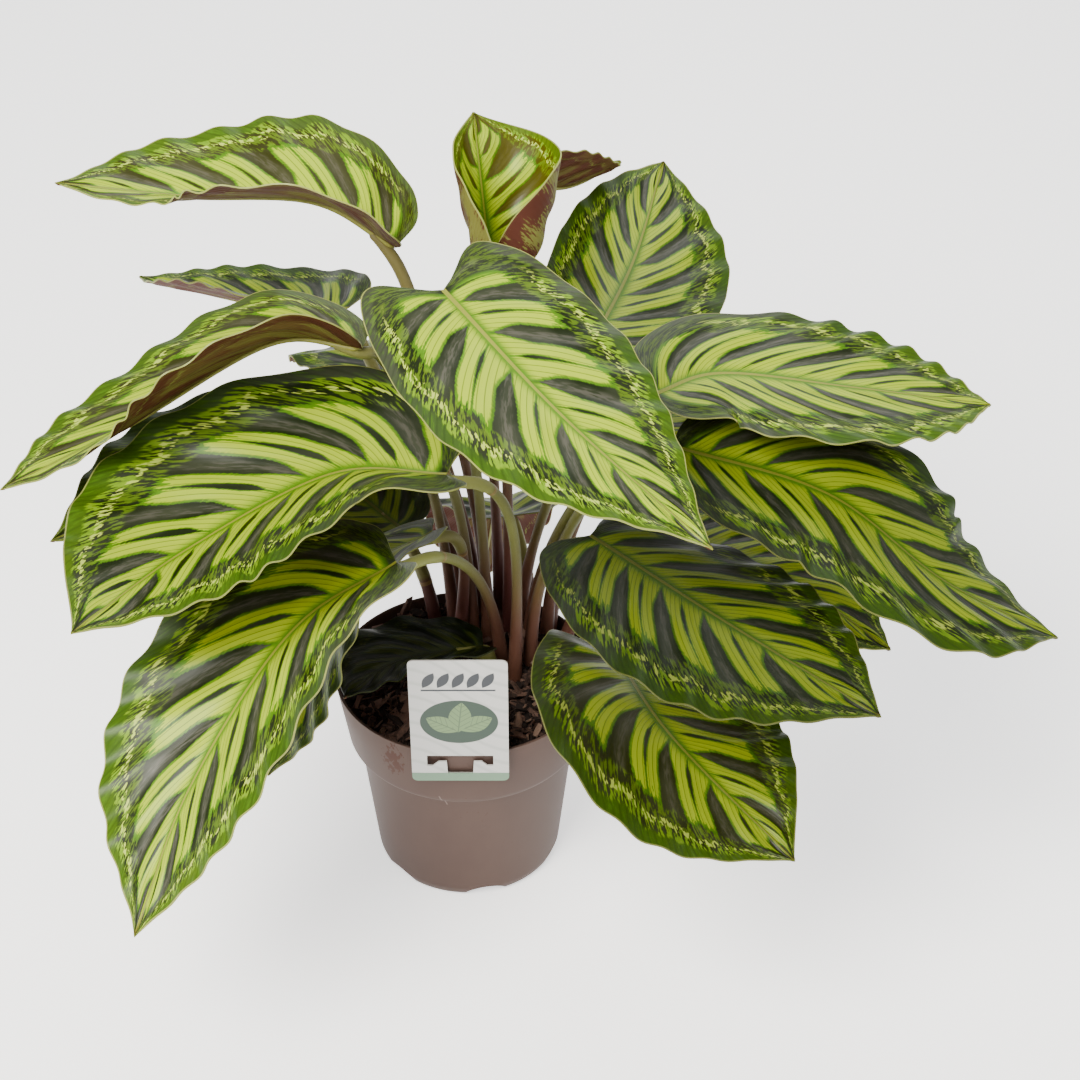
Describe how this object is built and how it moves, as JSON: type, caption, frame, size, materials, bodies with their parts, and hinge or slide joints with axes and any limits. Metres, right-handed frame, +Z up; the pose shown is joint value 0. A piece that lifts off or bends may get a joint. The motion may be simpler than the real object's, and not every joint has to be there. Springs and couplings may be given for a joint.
{
  "type": "potted moonlight calathea",
  "caption": "Patterned foliage plant in a round nursery pot: broad wavy leaves on arching stalks stand in bark soil, with a plain card hooked over the rim.",
  "frame": {"origin": "middle of the pot's flat base, on the surface it stands on", "axes": "+Z up; -Y towards the side of the pot with the card; +X to the right seen from that side"},
  "size_m": [0.51, 0.42, 0.42],
  "materials": {
    "pot": "matte taupe moulded plastic",
    "soil": "rough dark bark soil",
    "card": "satin white plastic card",
    "blade": "waxy patterned leaf, maroon beneath",
    "stalk": "smooth olive and maroon stalk"
  },
  "bodies": {
    "root": {"pot": "pot", "soil": "soil", "card": "card", "leaf_front_top": "blade", "stalk_front_top": "stalk", "leaf_left_large": "blade", "stalk_left_large": "stalk", "leaf_left_hanging": "blade", "stalk_left_hanging": "stalk", "leaf_top_left": "blade", "stalk_top_left": "stalk", "leaf_mid_left": "blade", "stalk_mid_left": "stalk", "leaf_back_left": "blade", "stalk_back_left": "stalk", "leaf_right_top": "blade", "stalk_right_top": "stalk", "leaf_right_large": "blade", "stalk_right_large": "stalk", "leaf_right_front": "blade", "stalk_right_front": "stalk", "leaf_right_low": "blade", "stalk_right_low": "stalk", "leaf_back_top": "blade", "stalk_back_top": "stalk", "leaf_left_under": "blade", "stalk_left_under": "stalk", "leaf_soil_small": "blade", "stalk_soil_small": "stalk", "leaf_young_rolled": "blade", "stalk_young_rolled": "stalk", "leaf_back_right": "blade", "stalk_back_right": "stalk", "leaf_left_behind": "blade", "stalk_left_behind": "stalk", "leaf_right_middle": "blade", "stalk_right_middle": "stalk", "leaf_inner_left": "blade", "stalk_inner_left": "stalk", "leaf_back_hanging": "blade", "stalk_back_hanging": "stalk", "leaf_back_low_right": "blade", "stalk_back_low_right": "stalk", "leaf_back_low_left": "blade", "stalk_back_low_left": "stalk"}
  },
  "joints": []
}
